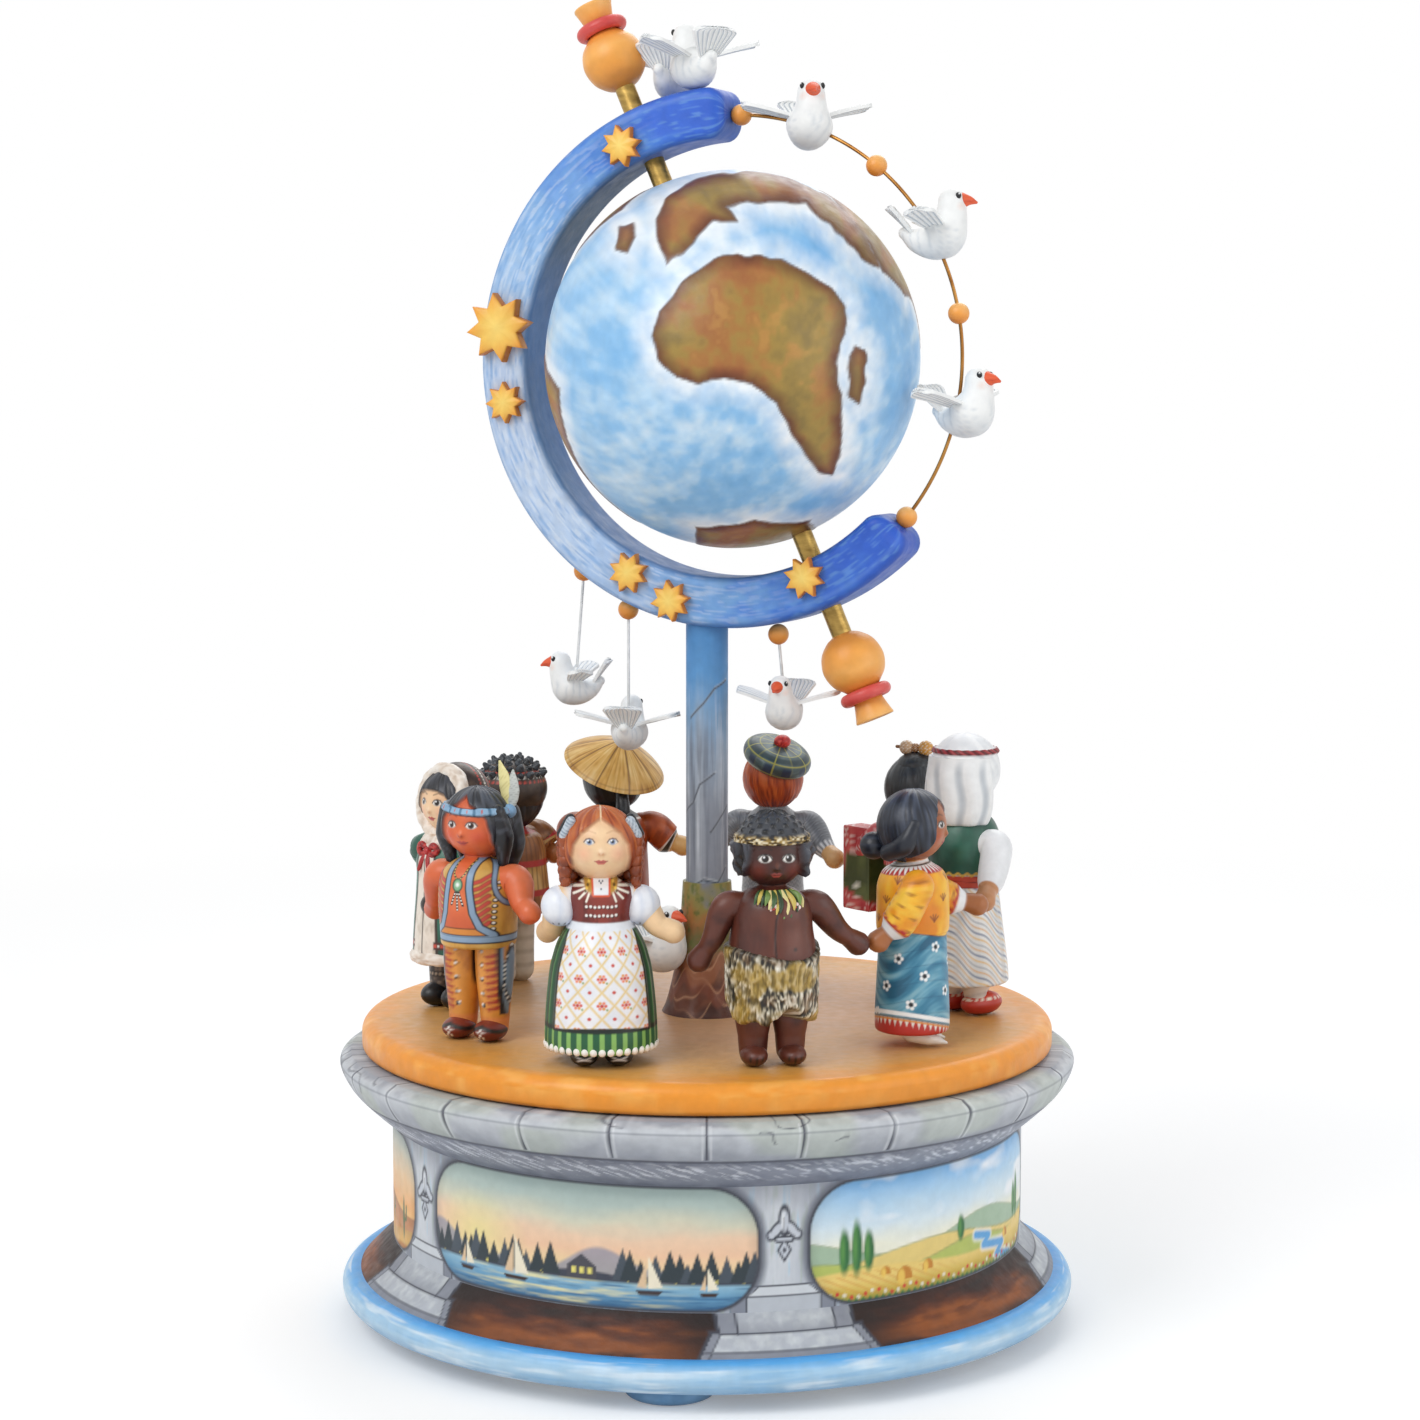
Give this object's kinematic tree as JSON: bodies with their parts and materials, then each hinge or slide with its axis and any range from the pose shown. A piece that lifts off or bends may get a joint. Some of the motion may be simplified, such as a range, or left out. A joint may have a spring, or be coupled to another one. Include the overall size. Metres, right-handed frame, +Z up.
{
  "type": "music box",
  "caption": "Wooden music box: a round painted base with a spring movement, a turntable with a ring of dolls, and a globe on a tilted axle in an open ring.",
  "frame": {"origin": "centre of the base on the plane that its feet stand on", "axes": "+Z up along the turntable's axis, -Y towards the front"},
  "size_m": [0.2, 0.2, 0.3562],
  "materials": {
    "blue_paint": "satin painted wood",
    "foot_paint": "satin painted wood",
    "brown_paint": "satin painted wood",
    "panel_paint": "satin painted wood",
    "stone_paint": "satin painted wood",
    "orange_paint": "satin painted wood",
    "ring_paint": "brushed satin paint on wood",
    "globe_paint": "satin painted wood",
    "star_paint": "satin painted wood",
    "red_paint": "satin painted wood",
    "white_paint": "satin painted wood",
    "raw_wood": "plain sanded wood",
    "brass": "drawn",
    "steel": "brushed",
    "dirndl_paint": "hand-painted wood",
    "dark_skin_paint": "hand-painted wood",
    "wrap_paint": "hand-painted wood",
    "robe_paint": "hand-painted wood",
    "kimono_paint": "hand-painted wood",
    "jumper_paint": "hand-painted wood",
    "tunic_paint": "hand-painted wood",
    "poncho_paint": "hand-painted wood",
    "coat_paint": "hand-painted wood",
    "vest_paint": "hand-painted wood",
    "skin_paint": "hand-painted wood"
  },
  "bodies": {
    "base": {"feet": "foot_paint", "base_disc": "blue_paint", "bottom_cover": "raw_wood", "cover_screws": "brass", "plinth": "brown_paint", "drum": "panel_paint", "cornice": "stone_paint", "deck": "raw_wood", "deck_bush": "brass", "movement_board": "raw_wood", "bedplate": "brass", "bedplate_screws": "steel", "cylinder_brackets": "brass", "comb_block": "brass", "comb": "steel", "comb_screws": "steel", "governor_bridge": "brass"},
    "barrel": {"spring_barrel": "steel", "barrel_lid": "steel", "mainspring": "steel"},
    "cylinder": {"pin_cylinder": "brass", "cylinder_wheel": "brass"},
    "governor_wheel": {"governor_wheel": "brass"},
    "governor_fan": {"governor_fan": "brass"},
    "key": {"winding_arbor": "steel", "winding_key": "brass"},
    "globe": {"globe": "globe_paint", "globe_axle": "brass", "finials": "orange_paint", "finial_rings": "red_paint"},
    "turntable": {"turntable": "orange_paint", "turntable_hub": "raw_wood", "spindle": "steel", "drive_gear": "brass", "column": "stone_paint", "column_foot": "brown_paint", "column_dowel": "raw_wood", "meridian_ring": "ring_paint", "big_star": "star_paint", "small_stars": "star_paint", "garland_wire": "brass", "garland_beads": "orange_paint", "hanging_beads": "orange_paint", "dove_wires": "steel", "garland_doves": "white_paint", "perched_doves": "white_paint", "hanging_doves": "white_paint", "apron_girl": "dirndl_paint", "fur_cloth_boy": "dark_skin_paint", "wrap_skirt_girl": "wrap_paint", "headcloth_boy": "robe_paint", "kimono_girl": "kimono_paint", "tam_boy": "jumper_paint", "straw_hat_boy": "tunic_paint", "poncho_boy": "poncho_paint", "hooded_girl": "coat_paint", "feather_boy": "vest_paint", "doll_heads": "skin_paint", "doll_arms": "skin_paint"}
  },
  "joints": [
    {"name": "turntable_spin", "type": "hinge", "parent": "base", "child": "turntable", "pos_m": [0, 0, 0.074], "axis": [0, 0, 1], "continuous": true},
    {"name": "globe_spin", "type": "hinge", "parent": "turntable", "child": "globe", "pos_m": [0.0069, -0.00293, 0.25921], "axis": [-0.3656, 0.1552, 0.9178], "continuous": true},
    {"name": "key_wind", "type": "hinge", "parent": "base", "child": "key", "pos_m": [0, 0.042, 0.009], "axis": [0, 0, 1], "continuous": true},
    {"name": "barrel_spin", "type": "hinge", "parent": "base", "child": "barrel", "pos_m": [0, 0.042, 0.03], "axis": [0, 0, 1], "continuous": true},
    {"name": "cylinder_spin", "type": "hinge", "parent": "base", "child": "cylinder", "pos_m": [0.04, 0.042, 0.0453], "axis": [1, 0, 0], "continuous": true},
    {"name": "governor_wheel_spin", "type": "hinge", "parent": "base", "child": "governor_wheel", "pos_m": [0, -0.03, 0.04], "axis": [0, 0, 1], "continuous": true},
    {"name": "governor_fan_spin", "type": "hinge", "parent": "base", "child": "governor_fan", "pos_m": [-0.02, -0.03, 0.04], "axis": [0, 0, 1], "continuous": true}
  ],
  "couplings": [
    {"joint": "barrel_spin", "follows": "turntable_spin", "ratio": -1.3333},
    {"joint": "cylinder_spin", "follows": "turntable_spin", "ratio": -3.3333},
    {"joint": "governor_wheel_spin", "follows": "turntable_spin", "ratio": -4},
    {"joint": "governor_fan_spin", "follows": "turntable_spin", "ratio": 16}
  ]
}
